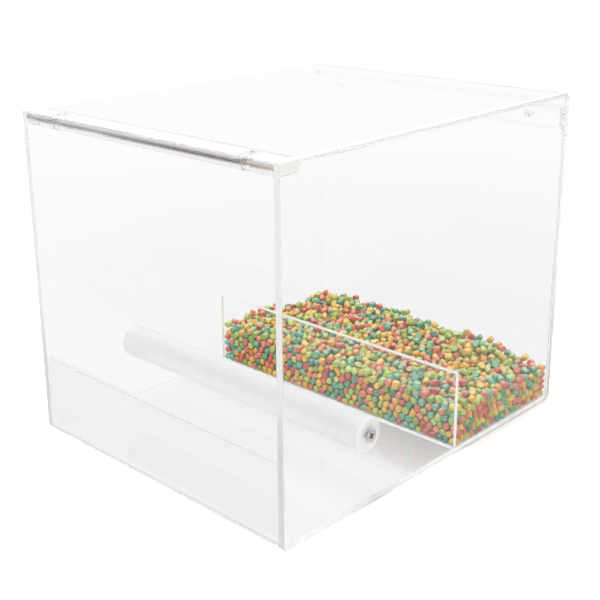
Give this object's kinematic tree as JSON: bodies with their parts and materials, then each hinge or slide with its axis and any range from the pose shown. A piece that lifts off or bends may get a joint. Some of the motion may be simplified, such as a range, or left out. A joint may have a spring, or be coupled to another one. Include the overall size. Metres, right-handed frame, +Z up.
{
  "type": "bird feeder",
  "caption": "Clear acrylic box feeder for cage birds with an open front, a low lip, a frosted perch on screws, a divider that keeps the feed at the back and drilled rails for hanging.",
  "frame": {"origin": "centre of the box's resting face, under the middle of its width and depth", "axes": "+Z up, +X to the right across the width, the open front faces -Y and the back faces +Y"},
  "size_m": [0.203, 0.248, 0.2],
  "materials": {
    "clear_acrylic": "clear, polished",
    "frosted_acrylic": "frosted, translucent white",
    "screw_steel": "bright zinc-plated",
    "pellet_feed": "matte, dry, mixed coral, yellow, lime and teal"
  },
  "bodies": {
    "housing": {"body_sheet": "clear_acrylic", "side_panel_left": "clear_acrylic", "side_panel_right": "clear_acrylic", "roof_rail": "clear_acrylic", "back_rail": "clear_acrylic", "feed_divider": "clear_acrylic", "feed_heap": "pellet_feed"},
    "perch": {"perch_rod": "frosted_acrylic", "perch_screw_left": "screw_steel", "perch_screw_right": "screw_steel"}
  },
  "joints": [
    {"name": "perch_turn", "type": "hinge", "parent": "housing", "child": "perch", "pos_m": [0, -0.057, 0.041], "axis": [1, 0, 0], "continuous": true}
  ]
}
